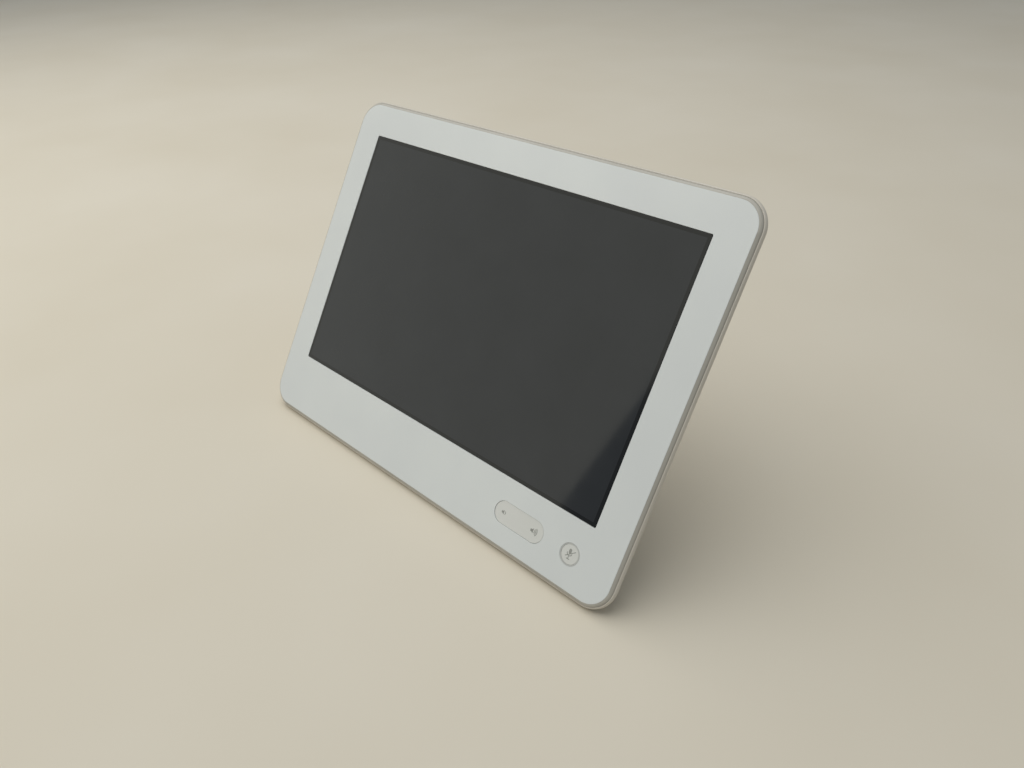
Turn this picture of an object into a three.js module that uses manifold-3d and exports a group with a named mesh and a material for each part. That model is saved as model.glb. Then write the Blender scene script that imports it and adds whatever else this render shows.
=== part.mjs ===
// Tabletop touch control panel: a 10.1 inch touch display in a case that leans back on a
// fixed stand, with a rocking volume button and a round mute button below the screen.
// Millimetres, +Z up. The screen faces -Y, and +X is to the viewer's right.

import * as THREE from 'three';
import { mergeVertices } from 'three/addons/utils/BufferGeometryUtils.js';
import Module from 'manifold-3d';

const wasm = await Module();
wasm.setup();

// ---- driving dimensions ----

// The panel has its own axes: X to the right, Y up its slope and Z out of its face.
// Y starts at the face's lower edge and Z at the face, so depths behind it are negative.
const leanAngle = THREE.MathUtils.degToRad(57.5);
const face = { width: 251.4, height: 184.7, radius: 11.5 };
const screen = { width: 216.96, height: 135.6, radius: 0.7, bottom: 32.5 };
const seam = 0.3;
const gap = 0.2;
const wall = 2.2;

// The edge, as offsets out from the face's outline.
const trimOffset = 1.55;
const shellOffset = 2.6;
const edgeChamfer = 0.2;
const trimFront = -0.15;
const trimEdgeFront = -1.4;
const lipFront = -1.3;
const rimFront = -2.1;
const rimBack = -3.4;
const shellBack = -17;

// Below the rim the case slopes in, so that its lower side lies level over the table.
const flankSlope = 1 / Math.tan(leanAngle);
const footHeight = 0.6;
const rearFootHeight = 1.4;

const volume = { x: 70.4, y: 15.8, length: 30, height: 11, front: -0.25, switchOffset: 9.9 };
const mute = { x: 101.5, y: 15.8, ringDiameter: 10.6, holeDiameter: 9.4, capDiameter: 9, front: -0.15 };
const buttonFlange = [-3, -3.7];
const stemDiameter = 2.4;
const tactSwitch = { size: 5.2, height: 1.5, plungerDiameter: 2, plungerHeight: 0.5 };

// The display's layers, from the front: each is [front, back].
const bezelPlate = [0, -2.2];
const glassLayer = [-0.1, -1.9];
const gasketLayer = [-2.4, -3.4];
const lcdLayer = [-3.6, -5.4];
const backlightLayer = [-5.6, -9];
const chassisLayer = [-9.2, -10.2];
const boardLayer = [-11.4, -13];
const shieldLayer = [-13.2, -14.6];
const buttonBoardLayer = [-7.4, -8.6];
const module = { width: 229.46, height: 149.1 };
const chassisSheet = { width: 224, height: 144 };
const shieldCan = { width: 36, height: 40, x: -58, y: 96 };
const label = { width: 54, height: 30, x: -76, y: 128, thickness: 0.2 };

const jack = { width: 16, height: 13.5, length: 21 };
const jackMouth = { width: 12, height: 8.2, depth: 13, front: 4.2 };
const cableWindow = { width: 56, height: 40, y: 82 };
const vents = { count: 12, pitch: 5, width: 2, length: 16, y: 146 };
const hump = { width: 84, height: 56, radius: 6, bottom: 56, back: -30, inset: 3 };
const stand = { width: 78, top: 108, bottom: 62, frontY: 84, backY: 122, wall: 2.6, round: 3 };
const standMouth = { front: 89, back: 116 };
const standBase = { thickness: 4, screwX: 31, screwY: 102.5 };
const rearFoot = { width: 20, depth: 10, x: 15, y: 102.5 };
const frontFoot = { width: 34, depth: 6, x: 88, y: 9.5 };

// Screws as [head diameter, head height, shank diameter, length], with the diameters of
// the holes that they bite into, pass through and sink their heads into.
const caseScrewSize = [5.4, 1.6, 2.9, 5];
const smallScrewSize = [4.2, 1.3, 1.9, 4];
const boardScrewSize = [4.2, 1.3, 1.9, 2.8];
const standScrewSize = [5.4, 1.6, 2.9, 10];
const coverScrewSize = [5.4, 1.2, 2.9, 10];
const smallHole = 2.6;
const caseHole = 3.4;
const loosePilot = 3.6;
const headHole = 6.4;

// ---- solids ----

function toSolid(geometry) {
  geometry.deleteAttribute('normal');
  geometry.deleteAttribute('uv');
  const merged = mergeVertices(geometry, 1e-4);
  const corners = [];
  for (let i = 0; i < merged.index.count; i += 3) {
    const [a, b, c] = merged.index.array.slice(i, i + 3);
    if (a !== b && b !== c && c !== a) {
      corners.push(a, b, c);
    }
  }
  const mesh = new wasm.Mesh({
    numProp: 3,
    vertProperties: new Float32Array(merged.attributes.position.array),
    triVerts: new Uint32Array(corners),
  });
  return new wasm.Manifold(mesh);
}

function toGeometry(solid) {
  const mesh = solid.getMesh();
  const geometry = new THREE.BufferGeometry();
  geometry.setAttribute('position', new THREE.BufferAttribute(mesh.vertProperties, 3));
  geometry.setIndex(new THREE.BufferAttribute(mesh.triVerts, 1));
  geometry.computeVertexNormals();
  return geometry;
}

function join(...solids) {
  return solids.reduce((whole, solid) => whole.add(solid));
}

function cut(body, ...tools) {
  return tools.reduce((rest, tool) => rest.subtract(tool), body);
}

function roundedRect(width, height, radius, centreX, centreY) {
  const right = width / 2;
  const top = height / 2;
  const shape = new THREE.Shape();
  shape.absarc(centreX + right - radius, centreY - top + radius, radius, -Math.PI / 2, 0);
  shape.absarc(centreX + right - radius, centreY + top - radius, radius, 0, Math.PI / 2);
  shape.absarc(centreX - right + radius, centreY + top - radius, radius, Math.PI / 2, Math.PI);
  shape.absarc(centreX - right + radius, centreY - top + radius, radius, Math.PI, Math.PI * 1.5);
  shape.closePath();
  return shape;
}

// The face's outline, moved out by an offset.
function faceOutline(offset) {
  const width = face.width + 2 * offset;
  const height = face.height + 2 * offset;
  return roundedRect(width, height, face.radius + offset, 0, face.height / 2);
}

function slab(shape, front, back, curveSegments = 4) {
  const geometry = new THREE.ExtrudeGeometry(shape, {
    depth: front - back,
    bevelEnabled: false,
    curveSegments,
  });
  geometry.translate(0, 0, back);
  return toSolid(geometry);
}

// A solid through a stack of outlines, from the front to the back. Each level is an
// [offset, z], and outline gives the shape at an offset.
function stack(outline, levels, curveSegments = 6) {
  const loops = levels.map(([offset]) => {
    const points = outline(offset).getPoints(curveSegments);
    return points[0].distanceTo(points.at(-1)) < 1e-6 ? points.slice(0, -1) : points;
  });
  const count = loops[0].length;
  const positions = loops.flatMap((loop, level) => {
    return loop.flatMap((point) => [point.x, point.y, levels[level][1]]);
  });
  const index = [];
  for (let level = 1; level < loops.length; level += 1) {
    for (let i = 0; i < count; i += 1) {
      const next = (i + 1) % count;
      const front = (level - 1) * count;
      const back = level * count;
      index.push(front + i, back + i, back + next);
      index.push(front + i, back + next, front + next);
    }
  }
  const lastLoop = (loops.length - 1) * count;
  for (const [a, b, c] of THREE.ShapeUtils.triangulateShape(loops[0], [])) {
    index.push(a, b, c);
  }
  for (const [a, b, c] of THREE.ShapeUtils.triangulateShape(loops.at(-1), [])) {
    index.push(lastLoop + a, lastLoop + c, lastLoop + b);
  }
  const geometry = new THREE.BufferGeometry();
  geometry.setAttribute('position', new THREE.Float32BufferAttribute(positions, 3));
  geometry.setIndex(index);
  return toSolid(geometry);
}

function block(width, height, depth, x, y, z) {
  const geometry = new THREE.BoxGeometry(width, height, depth);
  geometry.translate(x, y, z);
  return toSolid(geometry);
}

// A block given by its middle in X and Y and by its front and back.
function plate(width, height, layer, x, y) {
  const [front, back] = layer;
  return block(width, height, front - back, x, y, (front + back) / 2);
}

function rod(diameter, front, back, x, y, sides = 20) {
  const geometry = new THREE.CylinderGeometry(diameter / 2, diameter / 2, front - back, sides);
  geometry.rotateX(Math.PI / 2);
  geometry.translate(x, y, (front + back) / 2);
  return toSolid(geometry);
}

// The same rod at each of a list of places.
function rods(places, diameter, front, back, sides = 16) {
  return places.map(([x, y]) => rod(diameter, front, back, x, y, sides));
}

// A pan-head screw: its head's seat is at the origin and its shank points along +Z.
function screw(headDiameter, headHeight, shankDiameter, length) {
  const profile = [
    new THREE.Vector2(0, -headHeight),
    new THREE.Vector2(headDiameter * 0.32, -headHeight),
    new THREE.Vector2(headDiameter / 2, -headHeight * 0.45),
    new THREE.Vector2(headDiameter / 2, 0),
    new THREE.Vector2(shankDiameter / 2, 0),
    new THREE.Vector2(shankDiameter / 2, length - shankDiameter / 2),
    new THREE.Vector2(0, length),
  ];
  const geometry = new THREE.LatheGeometry(profile, 12);
  geometry.rotateX(Math.PI / 2);
  return toSolid(geometry);
}

// ---- materials ----

function material(color, roughness, metalness = 0) {
  return new THREE.MeshStandardMaterial({ color, roughness, metalness });
}

const materials = {
  whitePlastic: () => material(0xd3d6d2, 0.28),
  greyTrim: () => material(0x97978f, 0.45),
  shellPlastic: () => material(0xc9c6bd, 0.42),
  glass: () => material(0x1c1e1f, 0.06),
  display: () => material(0x101214, 0.2),
  foam: () => material(0x202020, 0.95),
  sheetSteel: () => material(0xb4b6b8, 0.4, 1),
  screwSteel: () => material(0x8f9194, 0.35, 1),
  circuitBoard: () => material(0x1f5a3a, 0.5),
  blackPart: () => material(0x191919, 0.5),
  flexFilm: () => material(0xa8702c, 0.4),
  lightGuide: () => material(0xa4a6a3, 0.35),
  rubber: () => material(0x8a8a86, 0.85),
  labelFilm: () => material(0xe6e6e2, 0.6),
};

function addPiece(group, name, solid, pieceMaterial) {
  const mesh = new THREE.Mesh(toGeometry(solid), pieceMaterial);
  mesh.name = name;
  group.add(mesh);
  return mesh;
}

// ---- places that several pieces share ----

const screenMiddle = screen.bottom + screen.height / 2;
const shellInnerBack = shellBack + wall;
const flankInset = (rimBack - shellBack) * flankSlope;
const bossEnd = -13.4;
const bezelBossPlaces = [
  [-104, 15],
  [-34, 15],
  [36, 15],
];
const chassisBossPlaces = [
  [-92, 160],
  [92, 160],
];
const shellScrewPlaces = [...bezelBossPlaces, ...chassisBossPlaces];
const chassisScrewPlaces = [
  [-100, 22.9],
  [30, 22.9],
  [-100, 177.6],
  [100, 177.6],
];
const boardScrewPlaces = [
  [-76, 66],
  [64, 66],
  [-76, 126],
  [64, 126],
];
const buttonPostPlaces = [
  [50.2, 16],
  [86.6, 8.4],
];
const coverScrewPlaces = [
  [-34, 84],
  [34, 84],
];
const legScrewPlaces = [
  [-24, 70],
  [24, 70],
  [-24, 98],
  [24, 98],
];
const mainBoard = { width: 150, height: 78, x: -6, y: 92 };
const buttonBoard = { width: 62, height: 18, x: 78, y: 15.5 };

// ---- front ----

function frontBezel() {
  const [front, back] = bezelPlate;
  const body = stack(faceOutline, [
    [-edgeChamfer, front],
    [0, front - edgeChamfer],
    [0, back],
  ]);
  const skirt = cut(slab(faceOutline(-2.5), back, -7), slab(faceOutline(-3.9), back, -7.5));
  const buttonPosts = rods(buttonPostPlaces, 5, back, -7.2);
  const chassisPosts = rods(chassisScrewPlaces, 4.4, back, -9);
  const shellBosses = rods(bezelBossPlaces, 7, back, bossEnd);
  const window = roundedRect(screen.width, screen.height, screen.radius, 0, screenMiddle);
  const pillHeight = volume.height + 2 * gap;
  const pill = roundedRect(volume.length + 2 * gap, pillHeight, pillHeight / 2, volume.x, volume.y);
  return cut(
    join(body, skirt, ...buttonPosts, ...chassisPosts, ...shellBosses),
    slab(window, 1, -4, 2),
    slab(pill, 1, -4, 6),
    rod(mute.ringDiameter + 2 * gap, 1, -4, mute.x, mute.y, 40),
    ...rods(buttonPostPlaces, smallHole, -3.2, -8, 12),
    ...rods(chassisScrewPlaces, smallHole, -3.2, -10, 12),
    ...rods(bezelBossPlaces, loosePilot, -9, -14, 12),
  );
}

// The trim shows as a thin line that slopes back around the face, and its flange lies
// under the bezel.
function edgeTrim() {
  const slope = stack(faceOutline, [
    [seam, trimFront],
    [trimOffset, trimEdgeFront],
    [trimOffset, rimBack],
  ]);
  const ring = cut(slope, slab(faceOutline(seam), 1, rimBack - 1, 6));
  const flange = cut(
    slab(faceOutline(trimOffset), bezelPlate[1] - seam, rimBack, 6),
    slab(faceOutline(-2), 0, rimBack - 1, 6),
  );
  return join(ring, flange);
}

function touchGlass() {
  const outline = roundedRect(
    screen.width - 2 * gap,
    screen.height - 2 * gap,
    screen.radius,
    0,
    screenMiddle,
  );
  return slab(outline, ...glassLayer, 2);
}

function displayGasket() {
  const outside = plate(screen.width + 9, screen.height + 9, gasketLayer, 0, screenMiddle);
  const inside = plate(screen.width + 2, screen.height + 2, [0, -5], 0, screenMiddle);
  return cut(outside, inside);
}

// ---- buttons ----

function volumeRocker() {
  const length = volume.length - 0.2;
  const height = volume.height - 0.2;
  const capOutline = roundedRect(length, height, height / 2, volume.x, volume.y);
  const flangeOutline = roundedRect(length + 3, height + 3, height / 2 + 1.5, volume.x, volume.y);
  const cap = slab(capOutline, volume.front, buttonFlange[0], 6);
  const flange = slab(flangeOutline, ...buttonFlange, 6);
  const stems = [-1, 1].map((side) => {
    return rod(stemDiameter, buttonFlange[1], -4.8, volume.x + side * volume.switchOffset, volume.y, 16);
  });
  return join(cap, flange, ...stems);
}

function muteButton() {
  const flangeDiameter = mute.capDiameter + 3;
  const cap = rod(mute.capDiameter, mute.front, -3.5, mute.x, mute.y, 40);
  const flange = rod(flangeDiameter, -3.5, -4, mute.x, mute.y, 40);
  const stem = rod(stemDiameter, -4, -4.6, mute.x, mute.y, 16);
  return join(cap, flange, stem);
}

function muteLightRing() {
  const ring = rod(mute.ringDiameter, -0.1, -2.6, mute.x, mute.y, 40);
  const flange = rod(mute.ringDiameter + 3, -2.5, -3.1, mute.x, mute.y, 40);
  const hole = rod(mute.holeDiameter, 1, -5, mute.x, mute.y, 40);
  return cut(join(ring, flange), hole);
}

// A small push switch that stands on the button board.
function buttonSwitch(x, y) {
  const { size, height, plungerDiameter, plungerHeight } = tactSwitch;
  const bodyBack = buttonBoardLayer[0] + gap;
  const bodyFront = bodyBack + height;
  const body = plate(size, size, [bodyFront, bodyBack], x, y);
  const plunger = rod(plungerDiameter, bodyFront + plungerHeight, bodyFront, x, y, 12);
  return join(body, plunger);
}

function buttonCircuit() {
  const { width, height, x, y } = buttonBoard;
  const board = plate(width, height, buttonBoardLayer, x, y);
  return cut(board, ...rods(buttonPostPlaces, smallHole + 0.4, 0, -12, 12));
}

// ---- inside the case ----

// The display's own layers share one outline.
function displayLayer(layer) {
  return plate(module.width, module.height, layer, 0, screenMiddle);
}

// A steel sheet behind the display. Its four tabs reach the bezel's posts, and it carries
// the main board and the rear shell's upper screws.
function chassisPlate() {
  const [front, back] = chassisLayer;
  const sheet = plate(chassisSheet.width, chassisSheet.height, chassisLayer, 0, screenMiddle);
  const tabs = chassisScrewPlaces.map(([x, y]) => {
    const inward = Math.sign(screenMiddle - y) * 3;
    return plate(7, 11, chassisLayer, x, y + inward);
  });
  const standoffs = rods(boardScrewPlaces, 5, back, boardLayer[0] + gap);
  const bosses = rods(chassisBossPlaces, 8, back, bossEnd);
  return cut(
    join(sheet, ...tabs, ...standoffs, ...bosses),
    ...rods(chassisScrewPlaces, smallHole, front + 1, back - 1, 12),
    ...rods(boardScrewPlaces, smallHole - 0.2, front - 0.4, -12, 12),
    ...rods(chassisBossPlaces, loosePilot, back + 0.4, -15, 12),
  );
}

function mainCircuit() {
  const board = plate(mainBoard.width, mainBoard.height, boardLayer, mainBoard.x, mainBoard.y);
  return cut(board, ...rods(boardScrewPlaces, smallHole, -10, -14, 12));
}

// Its mouth faces down the slope, so that a cable comes in from below.
function networkJack() {
  const front = boardLayer[1] - gap;
  const back = front - jack.height;
  const bottom = hump.bottom + 0.1;
  const body = plate(jack.width, jack.length, [front, back], 0, bottom + jack.length / 2);
  const mouthFront = front - jackMouth.front;
  const mouthLayer = [mouthFront, mouthFront - jackMouth.height];
  const mouth = plate(jackMouth.width, 2 * jackMouth.depth, mouthLayer, 0, bottom);
  return cut(body, mouth);
}

// A flat cable along a path of [Y, Z] points whose stretches run along Y or along Z.
function flatCable(width, x, path) {
  const thickness = 0.3;
  const strips = [];
  for (let i = 1; i < path.length; i += 1) {
    const [startY, startZ] = path[i - 1];
    const [endY, endZ] = path[i];
    const height = Math.abs(endY - startY) + thickness;
    const depth = Math.abs(endZ - startZ) + thickness;
    strips.push(block(width, height, depth, x, (startY + endY) / 2, (startZ + endZ) / 2));
  }
  return join(...strips);
}

// ---- rear ----

// A row of cooling slots through the case's rear wall.
function ventSlots() {
  return Array.from({ length: vents.count }, (_, index) => {
    const x = (index - (vents.count - 1) / 2) * vents.pitch;
    return plate(vents.width, vents.length, [shellInnerBack + 1, shellBack - 1], x, vents.y);
  });
}

function rearShell() {
  const lipInset = shellOffset - trimOffset - gap - 0.25;
  const outside = stack(faceOutline, [
    [shellOffset - lipInset, lipFront],
    [shellOffset, rimFront],
    [shellOffset, rimBack],
    [shellOffset - flankInset, shellBack],
  ]);
  const seatBack = rimBack - gap;
  const seat = slab(faceOutline(trimOffset + gap), 1, seatBack, 6);
  const innerInset = (seatBack - shellInnerBack) * flankSlope;
  const hollow = stack(faceOutline, [
    [gap, seatBack + 0.1],
    [gap, seatBack],
    [gap - innerInset, shellInnerBack],
  ]);
  const pillars = rods(shellScrewPlaces, 10, bossEnd - gap, shellInnerBack - 0.5, 20);
  return cut(
    join(cut(outside, seat, hollow), ...pillars),
    ...rods(shellScrewPlaces, headHole, shellInnerBack, shellBack - 1, 20),
    ...rods(shellScrewPlaces, caseHole, bossEnd, shellBack, 12),
    ...rods(coverScrewPlaces, caseHole, bossEnd, shellBack - 1, 12),
    plate(cableWindow.width, cableWindow.height, [bossEnd, shellBack - 1], 0, cableWindow.y),
    plate(jack.width + 2 * seam, 12, [bossEnd, shellBack - 1], 0, hump.bottom + 5.8),
    ...ventSlots(),
  );
}

// The connector cover stands out from the rear shell, around the jack and under the leg.
function connectorCover() {
  const front = shellBack - gap;
  const slopeStart = hump.back + hump.inset;
  const middle = hump.bottom + hump.height / 2;
  const outline = (offset) => {
    const width = hump.width + 2 * offset;
    const height = hump.height + 2 * offset;
    return roundedRect(width, height, hump.radius + offset, 0, middle);
  };
  const outside = stack(outline, [
    [0, front],
    [0, slopeStart],
    [-hump.inset, hump.back],
  ]);
  const inside = slab(outline(-wall), front + 1, slopeStart);
  const coverBosses = rods(coverScrewPlaces, 7, front, slopeStart - 0.5);
  const legBosses = rods(legScrewPlaces, 7, front - 2, slopeStart - 0.5);
  const jackFront = boardLayer[1] - gap;
  const jackLayer = [jackFront, jackFront - jack.height - seam];
  const jackHole = plate(jack.width + 2 * seam, 12, jackLayer, 0, hump.bottom);
  return cut(
    join(cut(outside, inside), ...coverBosses, ...legBosses),
    jackHole,
    ...rods(coverScrewPlaces, caseHole, front + 1, -26, 12),
    ...rods(legScrewPlaces, loosePilot, -21, hump.back - 1, 12),
  );
}

// ---- stand ----

// The height of the face's lower edge over the table.
const rimDrop = shellOffset * Math.sin(leanAngle) - rimBack * Math.cos(leanAngle);
const faceHeight = rimDrop + footHeight + gap;

// A point of the panel's slope and depth, as the object's own Y and Z.
function onSide(slopeY, depthZ) {
  const y = slopeY * Math.cos(leanAngle) - depthZ * Math.sin(leanAngle);
  const z = slopeY * Math.sin(leanAngle) + depthZ * Math.cos(leanAngle) + faceHeight;
  return new THREE.Vector2(y, z);
}

// A side profile in Y and Z, stretched along X about the middle.
function sideways(shape, width, options) {
  const geometry = new THREE.ExtrudeGeometry(shape, { depth: width, curveSegments: 2, ...options });
  const across = new THREE.Matrix4().makeBasis(
    new THREE.Vector3(0, 1, 0),
    new THREE.Vector3(0, 0, 1),
    new THREE.Vector3(1, 0, 0),
  );
  geometry.translate(0, 0, -width / 2);
  geometry.applyMatrix4(across);
  return toSolid(geometry);
}

const standFoot = rearFootHeight + gap;

function standProfile() {
  return new THREE.Shape([
    onSide(stand.bottom, hump.back - gap),
    new THREE.Vector2(stand.frontY, standFoot),
    new THREE.Vector2(stand.backY, standFoot),
    onSide(stand.top, hump.back - gap),
  ]);
}

// A rod that stands upright on the table's axes.
function uprightRod(diameter, low, high, x, y, sides = 12) {
  const geometry = new THREE.CylinderGeometry(diameter / 2, diameter / 2, high - low, sides);
  geometry.rotateX(Math.PI / 2);
  geometry.translate(x, y, (low + high) / 2);
  return toSolid(geometry);
}

// A hollow wedge: its upper face meets the connector cover, and its foot is open for the
// base plate.
function standLeg() {
  const outside = sideways(standProfile(), stand.width - 2 * stand.round, {
    bevelThickness: stand.round,
    bevelSize: stand.round,
    bevelOffset: -stand.round,
    bevelSegments: 3,
  });
  const hollow = sideways(standProfile(), stand.width - 2 * stand.wall - 0.4, {
    bevelThickness: 0.2,
    bevelSize: 0,
    bevelOffset: -stand.wall,
    bevelSegments: 1,
  });
  const mouthDepth = standMouth.back - standMouth.front;
  const mouthY = (standMouth.back + standMouth.front) / 2;
  const baseTop = standFoot + standBase.thickness;
  const mouth = block(stand.width - 2 * stand.wall, mouthDepth, 12, 0, mouthY, baseTop + gap - 6);
  const bosses = [-1, 1].map((side) => {
    return block(10, 8, 14, side * 32, standBase.screwY, baseTop + gap + 7);
  });
  const pilots = [-1, 1].map((side) => {
    return uprightRod(loosePilot, baseTop - 1, baseTop + 11, side * standBase.screwX, standBase.screwY);
  });
  return cut(join(cut(outside, hollow, mouth), ...bosses), ...pilots);
}

function standBasePlate() {
  const width = stand.width - 2 * stand.wall - 2 * seam;
  const depth = standMouth.back - standMouth.front - 2 * seam;
  const middleY = (standMouth.back + standMouth.front) / 2;
  const board = block(width, depth, standBase.thickness, 0, middleY, standFoot + standBase.thickness / 2);
  const holes = [-1, 1].flatMap((side) => {
    const x = side * standBase.screwX;
    return [
      uprightRod(headHole, standFoot - 1, standFoot + 2, x, standBase.screwY, 20),
      uprightRod(loosePilot, standFoot, standFoot + 5, x, standBase.screwY),
    ];
  });
  return cut(board, ...holes);
}

// Holes through the leg's upper wall, drilled square to the panel.
function legScrewHoles() {
  const turned = new THREE.Matrix4().makeRotationX(leanAngle).setPosition(0, 0, faceHeight);
  return rods(legScrewPlaces, loosePilot, hump.back + 1, hump.back - 6, 12).map((solid) => {
    const geometry = toGeometry(solid);
    geometry.applyMatrix4(turned);
    return toSolid(geometry);
  });
}

// ---- assembly ----

const object = new THREE.Group();
const panel = new THREE.Group();
panel.rotation.x = leanAngle;
panel.position.z = faceHeight;
object.add(panel);

addPiece(panel, 'front_bezel', frontBezel(), materials.whitePlastic());
addPiece(panel, 'edge_trim', edgeTrim(), materials.greyTrim());
addPiece(panel, 'touch_glass', touchGlass(), materials.glass());
addPiece(panel, 'display_gasket', displayGasket(), materials.foam());
addPiece(panel, 'lcd_panel', displayLayer(lcdLayer), materials.display());
addPiece(panel, 'backlight_unit', displayLayer(backlightLayer), materials.sheetSteel());
addPiece(panel, 'chassis_plate', chassisPlate(), materials.sheetSteel());
addPiece(panel, 'main_board', mainCircuit(), materials.circuitBoard());
const canSolid = plate(shieldCan.width, shieldCan.height, shieldLayer, shieldCan.x, shieldCan.y);
addPiece(panel, 'shield_can', canSolid, materials.sheetSteel());
addPiece(panel, 'network_jack', networkJack(), materials.sheetSteel());

addPiece(panel, 'volume_rocker', volumeRocker(), materials.whitePlastic());
addPiece(panel, 'mute_button', muteButton(), materials.whitePlastic());
addPiece(panel, 'mute_light_ring', muteLightRing(), materials.lightGuide());
addPiece(panel, 'button_board', buttonCircuit(), materials.circuitBoard());
const switchPlaces = {
  volume_down_switch: volume.x - volume.switchOffset,
  volume_up_switch: volume.x + volume.switchOffset,
  mute_switch: mute.x,
};
for (const [name, x] of Object.entries(switchPlaces)) {
  addPiece(panel, name, buttonSwitch(x, volume.y), materials.blackPart());
}
addPiece(panel, 'mute_led', block(1.6, 0.9, 0.8, mute.x, mute.y - 5, -6.8), materials.lightGuide());

const underChassis = -10.7;
const mainBoardEdge = mainBoard.y - mainBoard.height / 2 + 6;
const displayPath = [
  [25.3, -4.5],
  [23, -4.5],
  [23, underChassis],
  [mainBoardEdge, underChassis],
];
const buttonPath = [
  [17, -9],
  [24.4, -9],
  [24.4, underChassis],
  [mainBoardEdge, underChassis],
];
addPiece(panel, 'display_flex', flatCable(30, -54, displayPath), materials.flexFilm());
addPiece(panel, 'touch_flex', flatCable(16, -8, displayPath), materials.flexFilm());
addPiece(panel, 'button_flex', flatCable(10, 62, buttonPath), materials.flexFilm());

addPiece(panel, 'rear_shell', rearShell(), materials.shellPlastic());
addPiece(panel, 'connector_cover', connectorCover(), materials.shellPlastic());
const labelLayer = [shellBack - 0.1, shellBack - 0.1 - label.thickness];
const labelSolid = plate(label.width, label.height, labelLayer, label.x, label.y);
addPiece(panel, 'rating_label', labelSolid, materials.labelFilm());

// Screws that point at the face, each with its head's seat at seatZ.
function addScrews(baseName, places, solid, seatZ) {
  places.forEach(([x, y], index) => {
    const mesh = addPiece(panel, `${baseName}_${index + 1}`, solid, materials.screwSteel());
    mesh.position.set(x, y, seatZ);
  });
}

const caseScrew = screw(...caseScrewSize);
const smallScrew = screw(...smallScrewSize);
const boardScrew = screw(...boardScrewSize);
const standScrew = screw(...standScrewSize);
const coverScrew = screw(...coverScrewSize);
addScrews('shell_screw', shellScrewPlaces, caseScrew, shellInnerBack - gap);
addScrews('button_board_screw', buttonPostPlaces, smallScrew, buttonBoardLayer[1] - gap);
addScrews('chassis_screw', chassisScrewPlaces, smallScrew, chassisLayer[1] - gap);
addScrews('board_screw', boardScrewPlaces, boardScrew, boardLayer[1] - gap);
addScrews('leg_screw', legScrewPlaces, standScrew, hump.back - stand.wall - 2 * gap);

coverScrewPlaces.forEach(([x, y], index) => {
  const mesh = addPiece(panel, `cover_screw_${index + 1}`, coverScrew, materials.screwSteel());
  mesh.rotation.x = Math.PI;
  mesh.position.set(x, y, shellInnerBack + gap);
});

addPiece(object, 'stand_leg', cut(standLeg(), ...legScrewHoles()), materials.shellPlastic());
addPiece(object, 'stand_base', standBasePlate(), materials.shellPlastic());
[-1, 1].forEach((side, index) => {
  const number = index + 1;
  const baseScrew = addPiece(object, `base_screw_${number}`, standScrew, materials.screwSteel());
  baseScrew.position.set(side * standBase.screwX, standBase.screwY, standFoot + 2 - gap);
  const rearPad = block(rearFoot.width, rearFoot.depth, rearFootHeight, 0, 0, rearFootHeight / 2);
  const rear = addPiece(object, `rear_foot_${number}`, rearPad, materials.rubber());
  rear.position.set(side * rearFoot.x, rearFoot.y, 0);
  const frontPad = block(frontFoot.width, frontFoot.depth, footHeight, 0, 0, footHeight / 2);
  const front = addPiece(object, `front_foot_${number}`, frontPad, materials.rubber());
  front.position.set(side * frontFoot.x, frontFoot.y, 0);
});

// The origin is on the table, under the middle of the object's length and depth.
const extent = new THREE.Box3().setFromObject(object, true);
object.position.y = -(extent.min.y + extent.max.y) / 2;

export default object;
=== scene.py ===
# Tabletop touch control panel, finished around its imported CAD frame. Metres, +Z up,
# with the screen facing -Y. Sizes in the dictionaries below are in millimetres.
import math
import bpy
from mathutils import Euler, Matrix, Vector


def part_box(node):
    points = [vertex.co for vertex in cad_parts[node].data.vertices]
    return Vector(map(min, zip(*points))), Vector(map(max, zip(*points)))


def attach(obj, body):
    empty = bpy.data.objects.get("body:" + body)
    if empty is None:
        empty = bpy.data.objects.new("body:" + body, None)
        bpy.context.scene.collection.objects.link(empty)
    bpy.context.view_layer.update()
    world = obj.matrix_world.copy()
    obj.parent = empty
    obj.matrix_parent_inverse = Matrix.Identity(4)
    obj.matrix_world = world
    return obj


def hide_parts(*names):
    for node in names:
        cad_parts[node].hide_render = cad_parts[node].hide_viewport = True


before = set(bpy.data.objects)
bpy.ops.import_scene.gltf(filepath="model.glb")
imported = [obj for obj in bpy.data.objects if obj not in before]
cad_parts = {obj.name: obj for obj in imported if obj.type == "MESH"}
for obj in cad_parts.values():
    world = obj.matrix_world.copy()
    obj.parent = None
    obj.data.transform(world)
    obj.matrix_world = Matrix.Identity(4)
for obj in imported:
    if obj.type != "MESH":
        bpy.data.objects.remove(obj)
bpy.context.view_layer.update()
mm = 0.001
print("frame loaded:", len(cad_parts), "nodes")

# where the panel lies: its own axes are X right, Y up the slope and Z out of the face,
# from the middle of the face's lower edge
panel = {"lean": 57.5, "glassBottom": 32.7, "glassFront": -0.1, "glassBack": -1.9}
lean = math.radians(panel["lean"])


def findPanelPlace():
    low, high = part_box("touch_glass")
    slopeY = panel["glassBottom"] * mm
    y = low[1] - slopeY * math.cos(lean) + panel["glassFront"] * mm * math.sin(lean)
    z = low[2] - slopeY * math.sin(lean) - panel["glassBack"] * mm * math.cos(lean)
    return Vector((0, y, z))


panelPlace = findPanelPlace()


# the place in millimetres and the angles in degrees
camera = {
    "place": (250.5, -241.99, 279.0), "azimuth": 43.755, "elevation": 34.777, "roll": 1.805,
    "lens": 27.05, "filmWidth": 36, "clipStart": 0.01,
}


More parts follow.
